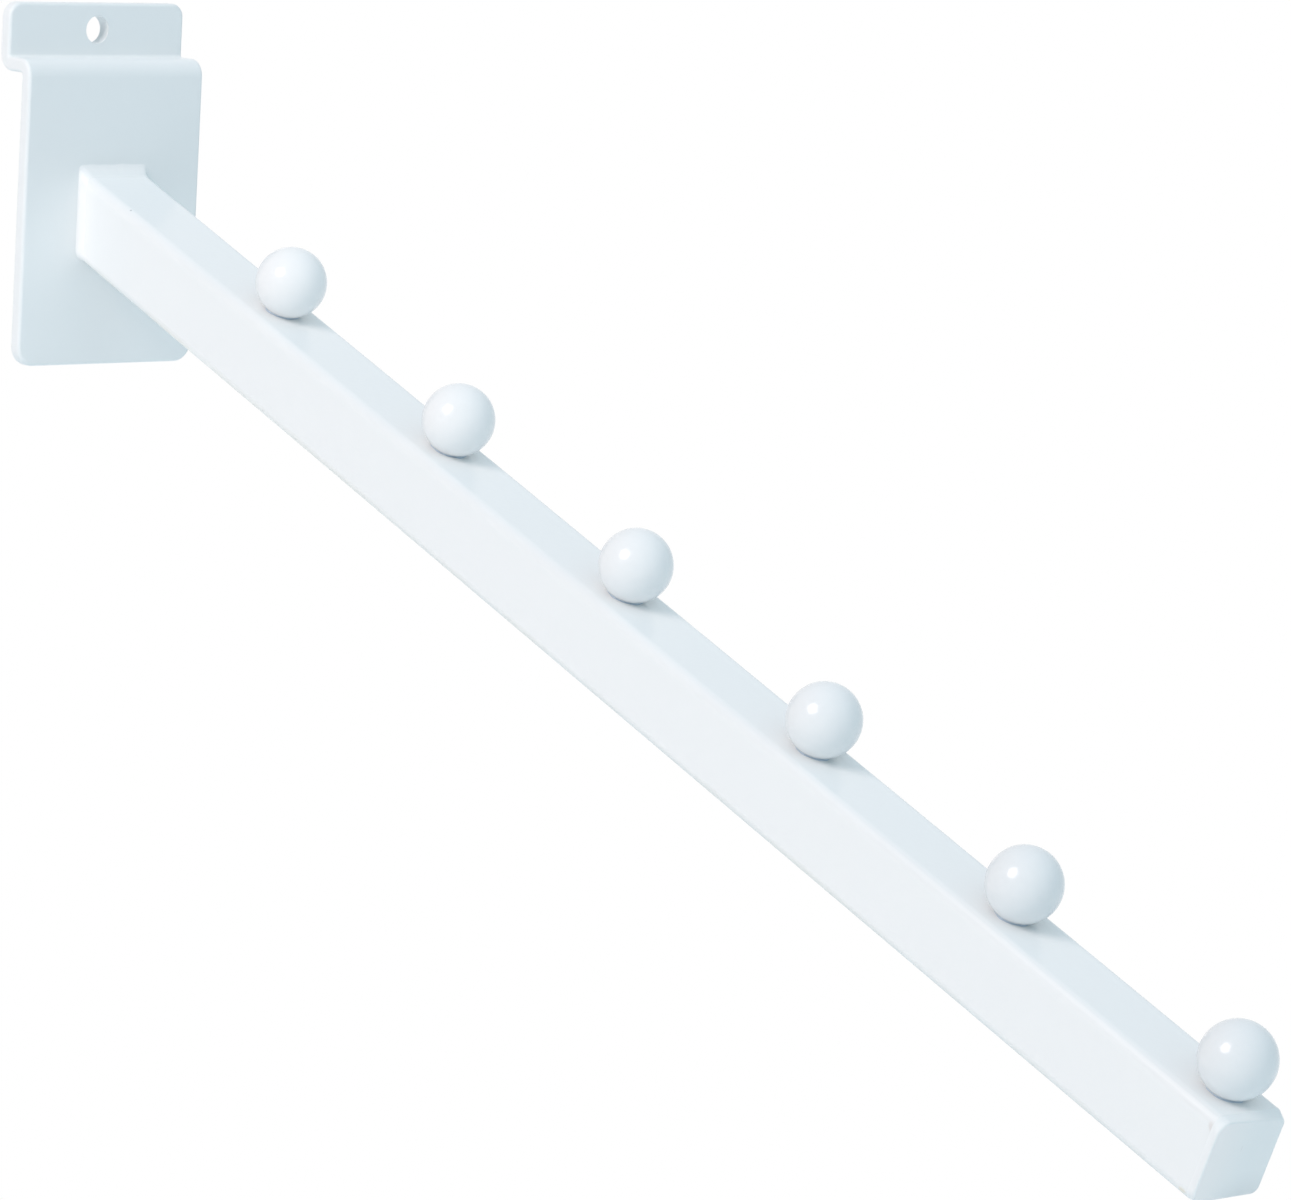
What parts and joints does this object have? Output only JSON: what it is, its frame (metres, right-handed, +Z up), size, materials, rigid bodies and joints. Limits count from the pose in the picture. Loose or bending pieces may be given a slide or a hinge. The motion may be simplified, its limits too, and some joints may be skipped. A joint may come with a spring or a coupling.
{
  "type": "sloping display arm",
  "caption": "White coated sloping display arm: a square tube welded to a bent plate that hooks into a slatted wall panel, with balls along the tube's top face that space hangers.",
  "frame": {"origin": "on the plate's flat back face, where it rests on the wall panel, on the arm's mid-plane and level with the point where the tube's axis leaves the plate's front face", "axes": "+Z up, +Y into the wall, +X to the right seen from the front; the arm runs along -Y and slopes down"},
  "size_m": [0.053, 0.4092, 0.2143],
  "materials": {
    "coated_sheet": "satin white powder coat on bent steel sheet",
    "coated_tube": "satin white powder coat on steel tube",
    "coated_weld": "satin white powder coat over a dressed fillet weld",
    "coated_ball": "glossier white powder coat on steel balls"
  },
  "bodies": {
    "root": {"back_plate": "coated_sheet", "arm_tube": "coated_tube", "root_weld": "coated_weld", "end_plate": "coated_tube", "ball_1": "coated_ball", "ball_2": "coated_ball", "ball_3": "coated_ball", "ball_4": "coated_ball", "ball_5": "coated_ball", "ball_6": "coated_ball"}
  },
  "joints": []
}
